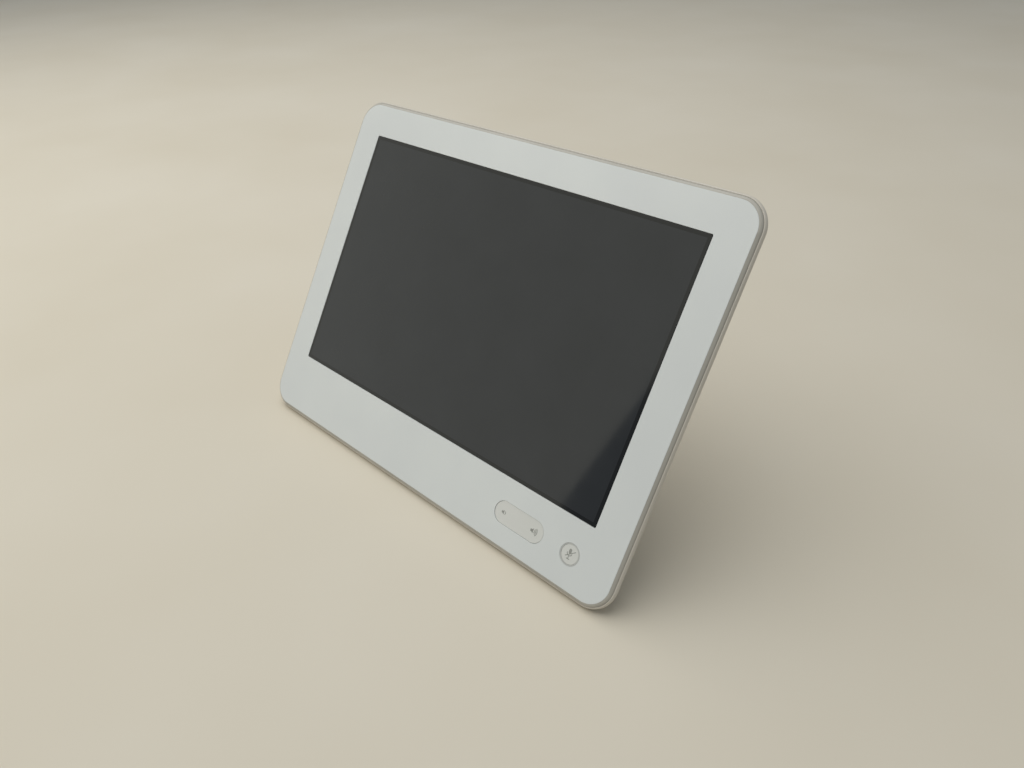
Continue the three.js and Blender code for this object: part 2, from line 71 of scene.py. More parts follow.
def setCamera():
    data = bpy.data.cameras.new("camera")
    view = bpy.data.objects.new("camera", data)
    bpy.context.collection.objects.link(view)
    data.lens = camera["lens"]
    data.sensor_width = camera["filmWidth"]
    data.clip_start = camera["clipStart"]
    azimuth = math.radians(camera["azimuth"])
    elevation = math.radians(camera["elevation"])
    aim = Vector((
        -math.sin(azimuth) * math.cos(elevation),
        math.cos(azimuth) * math.cos(elevation),
        -math.sin(elevation),
    ))
    turn = aim.to_track_quat("-Z", "Y").to_matrix()
    roll = Euler((0, 0, -math.radians(camera["roll"]))).to_matrix()
    view.matrix_world = (turn @ roll).to_4x4()
    view.location = Vector(camera["place"]) * mm
    bpy.context.scene.camera = view


setCamera()

# a soft lamp high on the left, and a dim card on the left that shows in the glass, whose
# place and turn are on the panel's axes
light = {
    "worldHex": "D2DAE2", "worldStrength": 0.42,
    "keyPlace": (-560, -150, 1500), "keySize": 2400, "keyPower": 21.7, "keyHex": "FFFDF9",
    "cardPlace": (-879, 52, 900), "cardWidth": 1100, "cardHeight": 920, "cardTurn": -15.7,
    "cardPower": 1.88, "cardHex": "FFFCEA",
}


def toLinear(hexColour):
    values = []
    for i in (0, 2, 4):
        level = int(hexColour[i:i + 2], 16) / 255
        values.append(level / 12.92 if level <= 0.04045 else ((level + 0.055) / 1.055) ** 2.4)
    return (*values, 1)


def addAreaLight(name, shape, width, height, power, hexColour, turn, place):
    data = bpy.data.lights.new(name, "AREA")
    data.shape = shape
    data.size = width * mm
    data.size_y = height * mm
    data.energy = power
    data.color = toLinear(hexColour)[:3]
    lamp = bpy.data.objects.new(name, data)
    bpy.context.collection.objects.link(lamp)
    lamp.matrix_world = turn.to_4x4()
    lamp.location = place


def setLights():
    world = bpy.data.worlds.new("studio")
    world.use_nodes = True
    background = world.node_tree.nodes["Background"]
    background.inputs["Color"].default_value = toLinear(light["worldHex"])
    background.inputs["Strength"].default_value = light["worldStrength"]
    bpy.context.scene.world = world
    place = Vector(light["keyPlace"]) * mm
    turn = (panelPlace - place).to_track_quat("-Z", "Y").to_matrix()
    size = light["keySize"]
    addAreaLight("key", "DISK", size, size, light["keyPower"], light["keyHex"], turn, place)
    leanTurn = Euler((lean, 0, 0)).to_matrix()
    place = panelPlace + leanTurn @ (Vector(light["cardPlace"]) * mm)
    turn = leanTurn @ Euler((0, 0, math.radians(light["cardTurn"]))).to_matrix()
    width, height = light["cardWidth"], light["cardHeight"]
    addAreaLight("card", "RECTANGLE", width, height, light["cardPower"], light["cardHex"], turn, place)
    bpy.context.scene.view_settings.view_transform = "Standard"


setLights()
print("camera and lights set")


def clearSelection():
    if bpy.context.mode != "OBJECT":
        bpy.ops.object.mode_set(mode="OBJECT")
    bpy.ops.object.select_all(action="DESELECT")


def makeActive(piece):
    clearSelection()
    piece.select_set(True)
    bpy.context.view_layer.objects.active = piece


def startPicking(piece, kind):
    makeActive(piece)
    bpy.ops.object.mode_set(mode="EDIT")
    bpy.ops.mesh.select_mode(type=kind)
    bpy.ops.mesh.select_all(action="DESELECT")
    bpy.ops.object.mode_set(mode="OBJECT")


# selects the edges whose two ends pass the test, and stays in edit mode
def pickEdges(piece, test):
    startPicking(piece, "EDGE")
    points = piece.data.vertices
    for edge in piece.data.edges:
        first, second = (points[i].co / mm for i in edge.vertices)
        edge.select = test(first, second)
    bpy.ops.object.mode_set(mode="EDIT")


# selects the faces whose middle and normal pass the test, and stays in edit mode
def pickFaces(piece, test):
    startPicking(piece, "FACE")
    for face in piece.data.polygons:
        face.select = test(face.center / mm, face.normal)
    bpy.ops.object.mode_set(mode="EDIT")


# a point this near a level counts as on it, and a face counts as facing an axis when this
# much of its normal lies along it
near = 0.01
flatness = 0.9


def onLevel(first, second, level):
    return abs(first.z - level) < near and abs(second.z - level) < near


# rounds the rims of a flat level: the edges where it meets a wall
def roundRims(piece, level, width, segments=3, inside=None):
    wallEdges = set()
    for face in piece.data.polygons:
        if abs(face.normal.z) < flatness:
            wallEdges.update(face.edge_keys)
    startPicking(piece, "EDGE")
    points = piece.data.vertices
    for edge in piece.data.edges:
        first, second = (points[i].co / mm for i in edge.vertices)
        wanted = inside is None or inside((first + second) / 2)
        edge.select = onLevel(first, second, level) and edge.key in wallEdges and wanted
    bpy.ops.object.mode_set(mode="EDIT")
    bpy.ops.mesh.bevel(offset=width * mm, segments=segments, affect="EDGES")
    bpy.ops.object.mode_set(mode="OBJECT")


def addBlock(name, size, middle):
    clearSelection()
    bpy.ops.mesh.primitive_cube_add(size=1, location=[value * mm for value in middle])
    piece = bpy.context.object
    piece.name = name
    piece.scale = [value * mm for value in size]
    bpy.ops.object.transform_apply(location=True, rotation=True, scale=True)
    return piece


# a plate with rounded corners between two levels
def addSlab(name, width, height, radius, front, back, x=0, y=0, segments=10):
    piece = addBlock(name, (width, height, front - back), (x, y, (front + back) / 2))
    if radius > 0:
        pickEdges(piece, lambda first, second: abs(first.z - second.z) > near)
        bpy.ops.mesh.bevel(offset=radius * mm, segments=segments, affect="EDGES", clamp_overlap=False)
        bpy.ops.mesh.select_all(action="SELECT")
        bpy.ops.mesh.remove_doubles(threshold=near * mm)
        bpy.ops.object.mode_set(mode="OBJECT")
    return piece


def addRod(name, diameter, front, back, x=0, y=0, sides=48):
    clearSelection()
    bpy.ops.mesh.primitive_cylinder_add(
        vertices=sides,
        radius=diameter / 2 * mm,
        depth=(front - back) * mm,
        location=(x * mm, y * mm, (front + back) / 2 * mm),
    )
    piece = bpy.context.object
    piece.name = name
    bpy.ops.object.transform_apply(location=True, rotation=True, scale=True)
    return piece


def applyModifier(piece, kind, **settings):
    makeActive(piece)
    modifier = piece.modifiers.new(kind.lower(), kind)
    for name, value in settings.items():
        setattr(modifier, name, value)
    bpy.ops.object.modifier_apply(modifier=modifier.name)


def carve(piece, *cutters):
    for cutter in cutters:
        applyModifier(piece, "BOOLEAN", object=cutter, operation="DIFFERENCE", solver="EXACT")
        bpy.data.objects.remove(cutter)


def joinPieces(name, pieces):
    clearSelection()
    for piece in pieces:
        piece.select_set(True)
    bpy.context.view_layer.objects.active = pieces[0]
    bpy.ops.object.join()
    pieces[0].name = name
    return pieces[0]


# a copy with its own mesh, moved by a number of millimetres
def copyPiece(piece, name, move):
    clearSelection()
    double = piece.copy()
    double.data = piece.data.copy()
    double.name = name
    bpy.context.collection.objects.link(double)
    double.location = Vector(move) * mm
    makeActive(double)
    bpy.ops.object.transform_apply(location=True, rotation=True, scale=True)
    return double


# turns and moves a piece from the panel's axes to its place
def leanBack(piece):
    makeActive(piece)
    piece.rotation_euler = (lean, 0, 0)
    piece.location = panelPlace
    bpy.ops.object.transform_apply(location=True, rotation=True, scale=True)


def smooth(piece, angle=32):
    makeActive(piece)
    bpy.ops.object.shade_smooth_by_angle(angle=math.radians(angle))
    applyModifier(piece, "WEIGHTED_NORMAL", keep_sharp=True)


def setMaterial(piece, material):
    piece.data.materials.clear()
    piece.data.materials.append(material)


# the last step for a new piece: its finish, its body and what it stands for
def finishPiece(piece, material, body="panel", standsFor=(), leans=True, angle=32):
    if leans:
        leanBack(piece)
    smooth(piece, angle)
    setMaterial(piece, material)
    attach(piece, body)
    if standsFor:
        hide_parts(*standsFor)
    return piece


def addNode(tree, kind, inputs=None, links=None, **settings):
    node = tree.nodes.new(kind)
    for name, value in settings.items():
        setattr(node, name, value)
    for name, value in (inputs or {}).items():
        node.inputs[name].default_value = value
    for name, source in (links or {}).items():
        tree.links.new(source, node.inputs[name])
    return node


# a new material with its shader, and Object coordinates turned to the panel's axes
def startMaterial(name, onPanel=False, **settings):
    material = bpy.data.materials.new(name)
    material.use_nodes = True
    tree = material.node_tree
    shader = tree.nodes["Principled BSDF"]
    for key, value in settings.items():
        shader.inputs[key].default_value = value
    place = addNode(tree, "ShaderNodeTexCoord").outputs["Object"]
    if onPanel:
        mapping = addNode(tree, "ShaderNodeMapping", links={"Vector": place}, vector_type="TEXTURE")
        mapping.inputs["Location"].default_value = panelPlace
        mapping.inputs["Rotation"].default_value = (lean, 0, 0)
        place = mapping.outputs["Vector"]
    return material, tree, shader, place


# a noise whose lumps are a given number of millimetres across
def addNoise(tree, place, lumpSize, detail=3, roughness=0.5):
    inputs = {"Scale": 1 / (lumpSize * mm), "Detail": detail, "Roughness": roughness}
    return addNode(tree, "ShaderNodeTexNoise", inputs, {"Vector": place}).outputs["Fac"]


# spreads a 0 to 1 pattern between two colours
def addTint(tree, pattern, darkHex, lightHex, low=0.3, high=0.7):
    ramp = addNode(tree, "ShaderNodeValToRGB", links={"Fac": pattern})
    ramp.color_ramp.elements[0].position = low
    ramp.color_ramp.elements[0].color = toLinear(darkHex)
    ramp.color_ramp.elements[1].position = high
    ramp.color_ramp.elements[1].color = toLinear(lightHex)
    return ramp.outputs["Color"]


def addRange(tree, pattern, low, high):
    inputs = {"To Min": low, "To Max": high}
    return addNode(tree, "ShaderNodeMapRange", inputs, {"Value": pattern}).outputs["Result"]


def addBump(tree, shader, pattern, height, strength=1.0):
    inputs = {"Strength": strength, "Distance": height * mm}
    bump = addNode(tree, "ShaderNodeBump", inputs, {"Height": pattern})
    tree.links.new(bump.outputs["Normal"], shader.inputs["Normal"])


# a moulded plastic's slow tone drift and uneven gloss, as lumps of so many millimetres
moulded = {"drift": 45, "uneven": 9}


# the grain is the mould's own texture: its lump size and height in millimetres
def makeMoulded(name, darkHex, lightHex, gloss, grain, grainHeight, ior=1.5):
    material, tree, shader, place = startMaterial(name, IOR=ior)
    drift = addNoise(tree, place, moulded["drift"], 2)
    tree.links.new(addTint(tree, drift, darkHex, lightHex), shader.inputs["Base Color"])
    uneven = addNoise(tree, place, moulded["uneven"], 4)
    tree.links.new(addRange(tree, uneven, *gloss), shader.inputs["Roughness"])
    addBump(tree, shader, addNoise(tree, place, grain, 2), grainHeight)
    return material


# polycarbonate, gloss moulded: a clean off-white with a soft sheen
bezelPlastic = makeMoulded(
    "polycarbonateGlossWhite", "DADDDB", "DFE2DF", (0.26, 0.36), 0.5, 0.0005, 1.58,
)
# the same plastic on the caps: handled, a little warmer and duller
capPlastic = makeMoulded("polycarbonateCapWhite", "D8D9D2", "DDDDD7", (0.3, 0.42), 0.4, 0.0015, 1.58)
# ABS, satin moulded: a white plastic given a light warm grey, darker than the face as painted shade and
# warmer as painted bounce light from the floor, so that the edge reads as a grey line
trimPlasticPaintedShade = makeMoulded("absSatinGreyPaintedShade", "B2AEA3", "B9B5AA", (0.36, 0.48), 0.4, 0.002, 1.53)
# ABS, spark-eroded mould: warm white with a fine even grain, its warmth painted bounce light from the
# warm floor
shellPlasticWarmBounce = makeMoulded(
    "absTexturedWhiteWarmBounce", "D0C9BB", "D7D0C3", (0.42, 0.56), 0.35, 0.006, 1.53,
)
# opal acrylic, unlit: a frosted grey
ringPlastic = makeMoulded("acrylicOpalGrey", "C0C1BC", "C7C8C3", (0.35, 0.5), 0.3, 0.002, 1.49)
# screen-printed ink: flat mid grey with ragged density
iconInk = makeMoulded("inkScreenPrinted", "969790", "A0A19A", (0.5, 0.65), 0.15, 0.001, 1.45)
# silicone, moulded: soft grey, nearly without gloss
footRubber = makeMoulded("siliconeMoulded", "7C7C78", "868682", (0.7, 0.85), 0.3, 0.01, 1.41)


# aluminosilicate glass over a switched-off display: near black, with a printed border,
# faint smears where it is touched and a clear reflection
glass = {
    "width": 216.56, "height": 135.2, "middleY": 100.3, "border": 1.8, "edgeRound": 0.12,
    "borderHex": "090A09", "cellDark": "222426", "cellLight": "27292B", "ior": 1.52,
    "stainSize": 28, "smearSize": 16, "gloss": (0.03, 0.09),
}


def makeScreenGlass():
    name = "glassOverDarkDisplay"
    material, tree, shader, place = startMaterial(name, onPanel=True, IOR=glass["ior"])
    axes = addNode(tree, "ShaderNodeSeparateXYZ", links={"Vector": place})
    halfX = (glass["width"] / 2 - glass["border"]) * mm
    halfY = (glass["height"] / 2 - glass["border"]) * mm
    kind = "ShaderNodeMath"
    across = addNode(tree, kind, links={0: axes.outputs["X"]}, operation="ABSOLUTE")
    insideX = addNode(tree, kind, {1: halfX}, {0: across.outputs[0]}, operation="LESS_THAN")
    middle = {1: glass["middleY"] * mm}
    fromMiddle = addNode(tree, kind, middle, {0: axes.outputs["Y"]}, operation="SUBTRACT")
    upDown = addNode(tree, kind, links={0: fromMiddle.outputs[0]}, operation="ABSOLUTE")
    insideY = addNode(tree, kind, {1: halfY}, {0: upDown.outputs[0]}, operation="LESS_THAN")
    both = {0: insideX.outputs[0], 1: insideY.outputs[0]}
    active = addNode(tree, kind, links=both, operation="MULTIPLY")
    stain = addNoise(tree, place, glass["stainSize"], 3)
    cell = addTint(tree, stain, glass["cellDark"], glass["cellLight"])
    border = {6: toLinear(glass["borderHex"])}
    links = {0: active.outputs[0], 7: cell}
    colour = addNode(tree, "ShaderNodeMix", border, links, data_type="RGBA")
    tree.links.new(colour.outputs[2], shader.inputs["Base Color"])
    smears = addNoise(tree, place, glass["smearSize"], 5, 0.62)
    tree.links.new(addRange(tree, smears, *glass["gloss"]), shader.inputs["Roughness"])
    return material


screenGlass = makeScreenGlass()
print("visible materials made")


# its size in metres, its drop and its tone's lumps in millimetres
floor = {
    "size": 14.0, "drop": 0.05, "darkHex": "D9D0BD", "lightHex": "DED6C5", "toneSize": 240,
    "ior": 1.4, "gloss": 0.75,
}


def addFloor():
    clearSelection()
    bpy.ops.mesh.primitive_plane_add(size=floor["size"], location=(0, 0, -floor["drop"] * mm))
    piece = bpy.context.object
    piece.name = "floor"
    material, tree, shader, place = startMaterial("paperWarmMatt", IOR=floor["ior"])
    tone = addNoise(tree, place, floor["toneSize"], 3)
    colour = addTint(tree, tone, floor["darkHex"], floor["lightHex"])
    tree.links.new(colour, shader.inputs["Base Color"])
    shader.inputs["Roughness"].default_value = floor["gloss"]
    setMaterial(piece, material)


addFloor()


# the white face, with how far the cutters reach in front of it and behind it
face = {
    "width": 251.4, "height": 184.7, "radius": 11.5, "back": -2.2, "edgeRound": 0.15,
    "openingRound": 0.1, "cutFront": 1, "cutBack": -4,
}
window = {"width": 216.96, "height": 135.6, "radius": 0.7, "middleY": 100.3}
pill = {"x": 70.4, "y": 15.8, "length": 30.3, "height": 11.2}
mute = {"x": 101.5, "y": 15.8, "hole": 10.7, "ring": 10.62, "ringInside": 9.4, "cap": 9.3}


def addFaceSlab(name, offset, front, back, segments=16):
    width = face["width"] + 2 * offset
    height = face["height"] + 2 * offset
    radius = face["radius"] + offset
    return addSlab(name, width, height, radius, front, back, 0, face["height"] / 2, segments)


def makeBezel():
    piece = addFaceSlab("faceBezel", 0, 0, face["back"])
    roundRims(piece, 0, face["edgeRound"], 4)
    depth = (face["cutFront"], face["cutBack"])
    width, height = window["width"], window["height"]
    pillRadius = pill["height"] / 2
    carve(
        piece,
        addSlab("cutter", width, height, window["radius"], *depth, 0, window["middleY"], 4),
        addSlab("cutter", pill["length"], pill["height"], pillRadius, *depth, pill["x"], pill["y"], 16),
        addRod("cutter", mute["hole"], *depth, mute["x"], mute["y"], 64),
    )
    halfWidth = face["width"] / 2
    height = face["height"]
    roundRims(
        piece, 0, face["openingRound"], 2,
        lambda point: abs(point.x) < halfWidth - 1 and 1 < point.y < height - 1,
    )
    return finishPiece(piece, bezelPlastic, standsFor=["front_bezel"])


makeBezel()

# the grey line around the face slopes away from it, and its flange runs under the bezel
trim = {
    "inner": 0.02, "outer": 1.6, "outerFront": -1.44, "back": -3.4, "flangeFront": -2.6,
    "flange": 2,
}
trimRoll = [(0.25, 0.5), (0.4, 0.37), (0.89, 0.47)]  # each step inwards, and its rise


def makeTrim():
    piece = addFaceSlab("edgeLine", trim["outer"], trim["outerFront"], trim["back"])
    pickFaces(piece, lambda middle, normal: normal.z > flatness)
    for step, rise in trimRoll:
        bpy.ops.mesh.inset(thickness=step * mm)
        bpy.ops.transform.translate(value=(0, 0, rise * mm))
    bpy.ops.object.mode_set(mode="OBJECT")
    carve(piece, addFaceSlab("cutter", trim["inner"], face["cutFront"], trim["flangeFront"]))
    carve(piece, addFaceSlab("cutter", -trim["flange"], face["cutFront"], trim["back"] - 1))
    return finishPiece(piece, trimPlasticPaintedShade, standsFor=["edge_trim"])


makeTrim()


def makeScreen():
    piece = addSlab(
        "screenPane", glass["width"], glass["height"], window["radius"],
        panel["glassFront"], panel["glassBack"], 0, glass["middleY"], 4,
    )
    roundRims(piece, panel["glassFront"], glass["edgeRound"], 2)
    return finishPiece(piece, screenGlass, standsFor=["touch_glass"])


makeScreen()
print("face made")


rocker = {
    "length": 30.04, "height": 11.1, "top": -0.15, "dish": 0.1, "dishInset": 1.4, "round": 0.3,
    "flange": 2.8, "flangeRadius": 6.7, "flangeFront": -3, "flangeBack": -3.7,
    "stem": 2.4, "stemX": 9.9, "stemFront": -3.6, "stemBack": -4.8,
}


# sinks the middle of a button's top
def dishTop(cap, inset, depth):
    pickFaces(cap, lambda middle, normal: normal.z > flatness)
    bpy.ops.mesh.inset(thickness=inset * mm)
    bpy.ops.transform.translate(value=(0, 0, -depth * mm))
    bpy.ops.object.mode_set(mode="OBJECT")


def makeRocker():
    x, y = pill["x"], pill["y"]
    length, height = rocker["length"], rocker["height"]
    top, middle, bottom = rocker["top"], rocker["flangeFront"], rocker["flangeBack"]
    cap = addSlab("volumeCap", length, height, height / 2, top, middle, x, y, 16)
    dishTop(cap, rocker["dishInset"], rocker["dish"])
    roundRims(cap, top, rocker["round"], 3)
    wider = rocker["flange"]
    flange = addSlab(
        "flange", length + wider, height + wider, rocker["flangeRadius"], middle, bottom, x, y, 12,
    )
    stemEnds = (rocker["stemFront"], rocker["stemBack"])
    stemPlaces = [x + side * rocker["stemX"] for side in (-1, 1)]
    stems = [addRod("stem", rocker["stem"], *stemEnds, place, y, 24) for place in stemPlaces]
    piece = joinPieces("volumeCap", [cap, flange, *stems])
    return finishPiece(piece, capPlastic, "volume_rocker", ["volume_rocker"])


makeRocker()

muteCap = {
    "top": -0.15, "back": -3.5, "dish": 0.12, "dishInset": 1.0, "round": 0.25,
    "flange": 12, "flangeFront": -3.4, "flangeBack": -4,
    "stem": 2.4, "stemFront": -3.9, "stemBack": -4.6,
}


def makeMuteCap():
    x, y = mute["x"], mute["y"]
    cap = addRod("muteCap", mute["cap"], muteCap["top"], muteCap["back"], x, y, 64)
    dishTop(cap, muteCap["dishInset"], muteCap["dish"])
    roundRims(cap, muteCap["top"], muteCap["round"], 3)
    flangeEnds = (muteCap["flangeFront"], muteCap["flangeBack"])
    flange = addRod("flange", muteCap["flange"], *flangeEnds, x, y)
    stem = addRod("stem", muteCap["stem"], muteCap["stemFront"], muteCap["stemBack"], x, y, 24)
    piece = joinPieces("muteCap", [cap, flange, stem])
    return finishPiece(piece, capPlastic, "mute_button", ["mute_button"])


makeMuteCap()

ring = {"front": -0.1, "back": -3.1, "round": 0.15}


def makeLightRing():
    x, y = mute["x"], mute["y"]
    piece = addRod("muteRing", mute["ring"], ring["front"], ring["back"], x, y, 64)
    carve(piece, addRod("cutter", mute["ringInside"], face["cutFront"], face["cutBack"], x, y, 64))
    roundRims(piece, ring["front"], ring["round"], 2)
    return finishPiece(piece, ringPlastic, standsFor=["mute_light_ring"])


makeLightRing()

# printed marks: a quiet speaker, a loud speaker and a crossed microphone
# the speaker's sides are parts of its size, and the rest is in millimetres
icon = {
    "thickness": 0.03, "lift": 0.002, "line": 0.36, "waves": (1.05, 1.75, 2.45), "waveTurn": 48,
    "downX": 60.6, "downSize": 2.1, "downWaveX": 60.8, "upX": 79.1, "upSize": 2.4, "upWaveX": 79.3,
    "boxWidth": 0.42, "boxShift": 0.3, "coneWidth": 0.34, "narrow": 0.5, "spread": 2.1,
}
# each of the microphone's strokes: its width, height, corner radius, place and turn
micHead = (1.4, 2.4, 0.68, -0.3, 1.45, 0)
micStem = (icon["line"], 1.3, 0, -0.3, -1.5, 0)
micFoot = (1.8, icon["line"], 0, -0.3, -2.3, 0)
micSlash = (6.1, icon["line"], 0.1, 0.2, 0.4, 39)
micCradle = {"radius": 1.35, "x": -0.3, "y": 0.6}


def addStroke(width, height, radius, level, x, y, turn=0):
    stroke = addSlab("stroke", width, height, radius, level + icon["thickness"], level, 0, 0, 3)
    stroke.rotation_euler = (0, 0, math.radians(turn))
    stroke.location = (x * mm, y * mm, 0)
    makeActive(stroke)
    bpy.ops.object.transform_apply(location=True, rotation=True, scale=True)
    return stroke


# a bent line whose section is spun about the middle, from startTurn back by sweep
def addArc(radius, startTurn, sweep, level, x, y):
    clearSelection()
    middle = level + icon["thickness"] / 2
    place = (radius * mm, 0, middle * mm)
    bpy.ops.mesh.primitive_plane_add(size=1, location=place, rotation=(math.pi / 2, 0, 0))
    arc = bpy.context.object
    arc.scale = (icon["line"] * mm, icon["thickness"] * mm, 1)
    bpy.ops.object.transform_apply(location=True, rotation=True, scale=True)
    bpy.ops.object.mode_set(mode="EDIT")
    bpy.ops.mesh.select_all(action="SELECT")
    bpy.ops.mesh.spin(steps=12, angle=math.radians(sweep), center=(0, 0, 0), axis=(0, 0, 1))
    bpy.ops.mesh.select_all(action="SELECT")
    bpy.ops.mesh.remove_doubles(threshold=0.000001)
    bpy.ops.mesh.fill_holes(sides=4)
    bpy.ops.mesh.select_all(action="SELECT")
    bpy.ops.mesh.normals_make_consistent(inside=False)
    bpy.ops.object.mode_set(mode="OBJECT")
    arc.rotation_euler = (0, 0, math.radians(startTurn))
    arc.location = (x * mm, y * mm, 0)
    bpy.ops.object.transform_apply(location=True, rotation=True, scale=True)
    return arc


def addSpeaker(x, y, level, size):
    narrow = icon["narrow"] * size
    box = addStroke(icon["boxWidth"] * size, narrow, 0, level, x - icon["boxShift"] * size, y)
    cone = addStroke(icon["coneWidth"] * size, narrow, 0, level, x, y)
    pickFaces(cone, lambda middle, normal: normal.x > flatness)
    bpy.ops.transform.resize(value=(1, icon["spread"], 1))
    bpy.ops.object.mode_set(mode="OBJECT")
    return [box, cone]


def makeVolumeIcons():
    level = rocker["top"] - rocker["dish"] + icon["lift"]
    y = pill["y"]
    turn = icon["waveTurn"]
    down = addSpeaker(icon["downX"], y, level, icon["downSize"])
    up = addSpeaker(icon["upX"], y, level, icon["upSize"])
    waves = [addArc(radius, turn, 2 * turn, level, icon["upWaveX"], y) for radius in icon["waves"]]
    waves.append(addArc(icon["waves"][0], turn, 2 * turn, level, icon["downWaveX"], y))
    piece = joinPieces("volumeMarks", [*down, *up, *waves])
    return finishPiece(piece, iconInk, "volume_rocker")


def makeMuteIcon():
    level = muteCap["top"] - muteCap["dish"] + icon["lift"]
    cradlePlace = (mute["x"] + micCradle["x"], mute["y"] + micCradle["y"])
    parts = []
    for width, height, radius, x, y, turn in (micHead, micStem, micFoot, micSlash):
        place = (mute["x"] + x, mute["y"] + y)
        parts.append(addStroke(width, height, radius, level, *place, turn))
    parts.insert(1, addArc(micCradle["radius"], 0, 180, level, *cradlePlace))
    piece = joinPieces("muteMark", parts)
    return finishPiece(piece, iconInk, "mute_button")


makeVolumeIcons()
makeMuteIcon()
print("buttons made")


# the rim's levels, the rear face and the hollow, with the roundings of its edges
case = {
    "rim": 2.6, "lip": 1.95, "lipFront": -1.3, "rimFront": -2.1, "rimBack": -3.4, "back": -17,
    "inner": 1.63, "seatBack": -3.6, "innerBack": -14.8, "hollow": 0.2, "hollowFront": -3.5,
    "lipRound": 0.15, "rimRound": 0.55, "flankRound": 0.5, "backRound": 2.2, "screwHole": 6.4,
}
# the openings under the connector cover, for the jack and for its cable
opening = {"width": 56, "height": 40, "radius": 2, "y": 82, "front": -13, "back": -18}
notch = {"size": (16.6, 12, 6), "place": (0, 61.8, -16)}
screwPlaces = [(-104, 15), (-34, 15), (36, 15), (-92, 160), (92, 160)]
vents = {
    "count": 12, "pitch": 5, "width": 2, "length": 16, "radius": 0.98, "y": 146,
    "front": -13.8, "back": -18,
}
flankSlope = 1 / math.tan(lean)


def addVentCutter():
    startX = -(vents["count"] - 1) / 2 * vents["pitch"]
    slot = addSlab(
        "cutter", vents["width"], vents["length"], vents["radius"],
        vents["front"], vents["back"], startX, vents["y"], 6,
    )
    slots = [slot]
    for number in range(1, vents["count"]):
        slots.append(copyPiece(slot, "cutter", (number * vents["pitch"], 0, 0)))
    return joinPieces("cutter", slots)


# moves the rear face back while drawing its outline in
def slopeBack(piece, level, inset, depth):
    pickFaces(piece, lambda middle, normal: normal.z < -flatness and abs(middle.z - level) < near)
    bpy.ops.mesh.inset(thickness=inset * mm)
    bpy.ops.transform.translate(value=(0, 0, -depth * mm))
    bpy.ops.object.mode_set(mode="OBJECT")


def makeRearCase():
    piece = addFaceSlab("rearCase", case["rim"], case["rimFront"], case["rimBack"])
    pickFaces(piece, lambda middle, normal: normal.z > flatness)
    bpy.ops.mesh.inset(thickness=(case["rim"] - case["lip"]) * mm)
    bpy.ops.transform.translate(value=(0, 0, (case["lipFront"] - case["rimFront"]) * mm))
    bpy.ops.object.mode_set(mode="OBJECT")
    depth = case["rimBack"] - case["back"]
    slopeBack(piece, case["rimBack"], depth * flankSlope, depth)
    roundRims(piece, case["back"], case["backRound"], 5)
    for edge, width in (("rimFront", "rimRound"), ("rimBack", "flankRound"), ("lipFront", "lipRound")):
        pickEdges(piece, lambda first, second: onLevel(first, second, case[edge]))
        bpy.ops.mesh.bevel(offset=case[width] * mm, segments=3, affect="EDGES")
        bpy.ops.object.mode_set(mode="OBJECT")
    seat = addFaceSlab("cutter", case["inner"], face["cutFront"], case["seatBack"])
    hollow = addFaceSlab("cutter", case["hollow"], case["hollowFront"], case["seatBack"])
    innerDepth = case["seatBack"] - case["innerBack"]
    slopeBack(hollow, case["seatBack"], innerDepth * flankSlope, innerDepth)
    carve(piece, seat, hollow)
    holes = [
        addRod("cutter", case["screwHole"], case["innerBack"], case["back"] - 1, x, y)
        for x, y in screwPlaces
    ]
    jackOpening = addSlab(
        "cutter", opening["width"], opening["height"], opening["radius"],
        opening["front"], opening["back"], 0, opening["y"], 4,
    )
    jackNotch = addBlock("cutter", notch["size"], notch["place"])
    carve(piece, *holes, jackOpening, jackNotch, addVentCutter())
    return finishPiece(piece, shellPlasticWarmBounce, standsFor=["rear_shell"], angle=40)


makeRearCase()

cover = {
    "width": 84, "height": 56, "radius": 6, "middleY": 84, "front": -17.2, "back": -30, "round": 3,
    "wall": 2.2, "innerRadius": 3.8, "cutFront": -10, "cutBack": -27, "jackWidth": 16.6,
    "jackHeight": 12, "jackY": 56, "screwX": 34, "screwSeat": -14.6,
}


def makeCover():
    width, height, middleY = cover["width"], cover["height"], cover["middleY"]
    piece = addSlab(
        "connectorHump", width, height, cover["radius"], cover["front"], cover["back"], 0, middleY,
    )
    roundRims(piece, cover["back"], cover["round"], 6)
    walls = 2 * cover["wall"]
    depth = (cover["cutFront"], cover["cutBack"])
    inside = addSlab("cutter", width - walls, height - walls, cover["innerRadius"], *depth, 0, middleY)
    jackHole = addSlab("cutter", cover["jackWidth"], cover["jackHeight"], 0, *depth, 0, cover["jackY"])
    carve(piece, inside, jackHole)
    return finishPiece(piece, shellPlasticWarmBounce, standsFor=["connector_cover"])


makeCover()
print("rear made")


# points on the middle plane, from the floor under the face's lower edge and on the panel's
# axes
def fromFloor(y, z):
    return Vector((0, y * mm + panelPlace.y, z * mm))


def fromPanel(y, z):
    return panelPlace + Euler((lean, 0, 0)).to_matrix() @ (Vector((0, y, z)) * mm)


stand = {
    "width": 78, "top": 108, "bottom": 62, "face": -30.2, "frontY": 84, "backY": 122, "foot": 1.6,
    "wall": 2.6, "round": 3, "mouthWidth": 72.8, "mouthY": 102.5, "mouthDepth": 27, "mouthTop": 5.8,
    "mouthCut": 12, "bossX": 31, "bossWidth": 8.4, "bossHeight": 14, "pilot": 3.6,
}


# moves one edge of a block, which runs along X, to a place in Y and Z
def moveEdge(piece, isUpper, isRear, place):
    makeActive(piece)
    middle = sum((vertex.co for vertex in piece.data.vertices), Vector()) / 8
    corners = [(vertex.co.z > middle.z, vertex.co.y > middle.y) for vertex in piece.data.vertices]
    startPicking(piece, "VERT")
    for vertex, corner in zip(piece.data.vertices, corners):
        vertex.select = corner == (isUpper, isRear)
    start = piece.data.vertices[corners.index((isUpper, isRear))].co.copy()
    bpy.ops.object.mode_set(mode="EDIT")
    bpy.ops.transform.translate(value=(0, place.y - start.y, place.z - start.z))
    bpy.ops.object.mode_set(mode="OBJECT")


